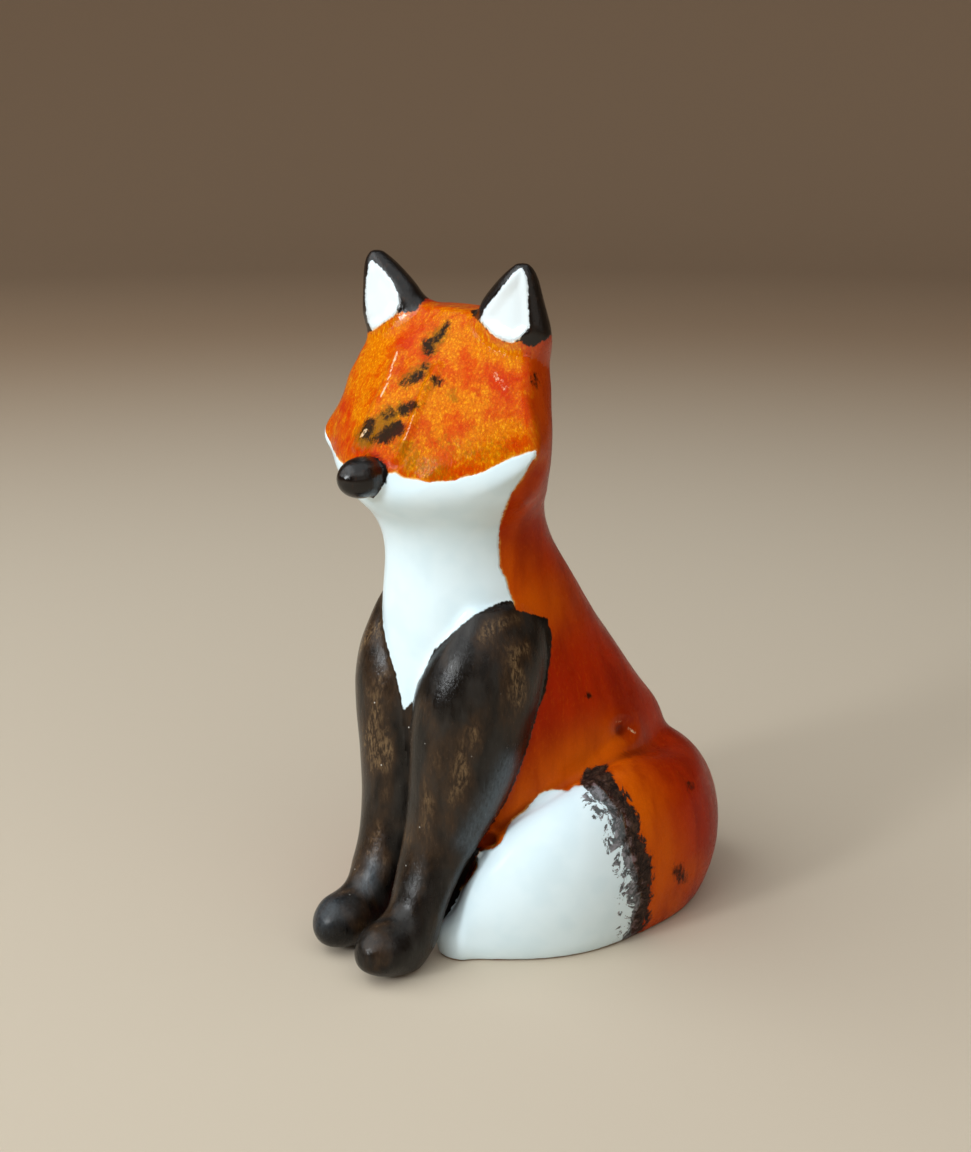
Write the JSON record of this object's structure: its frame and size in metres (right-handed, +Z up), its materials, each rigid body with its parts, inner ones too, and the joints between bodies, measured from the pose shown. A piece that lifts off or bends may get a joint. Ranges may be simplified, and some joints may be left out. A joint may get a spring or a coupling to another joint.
{
  "type": "fox figurine",
  "caption": "Hand-built ceramic figurine of a sitting fox with dark legs and ears, a white bib and a thick tail wrapped round its side; stands on a flat seat as an ornament.",
  "frame": {"origin": "on the figure's mid-plane, near the middle of the seat, on the surface it stands on", "axes": "+Z up, -Y the way the fox faces, +X the fox's left side, where the tail lies"},
  "size_m": [0.0769, 0.1108, 0.1576],
  "materials": {
    "orange_glaze": "glossy orange to rust crackle glaze, white on the face, the bib and the tail's tip",
    "oxide_wash": "satin brown-black oxide wash, worn to brown on the high places",
    "black_glaze": "glossy brown-black glaze, white inside the ears",
    "bare_clay": "matt unglazed stoneware"
  },
  "bodies": {
    "root": {"base_slab": "bare_clay", "torso_shell": "orange_glaze", "head_shell": "orange_glaze", "nose": "black_glaze", "left_ear": "black_glaze", "right_ear": "black_glaze", "left_foreleg": "oxide_wash", "right_foreleg": "oxide_wash", "left_forepaw": "oxide_wash", "right_forepaw": "oxide_wash", "left_haunch": "orange_glaze", "right_haunch": "orange_glaze", "tail": "orange_glaze"}
  },
  "joints": []
}
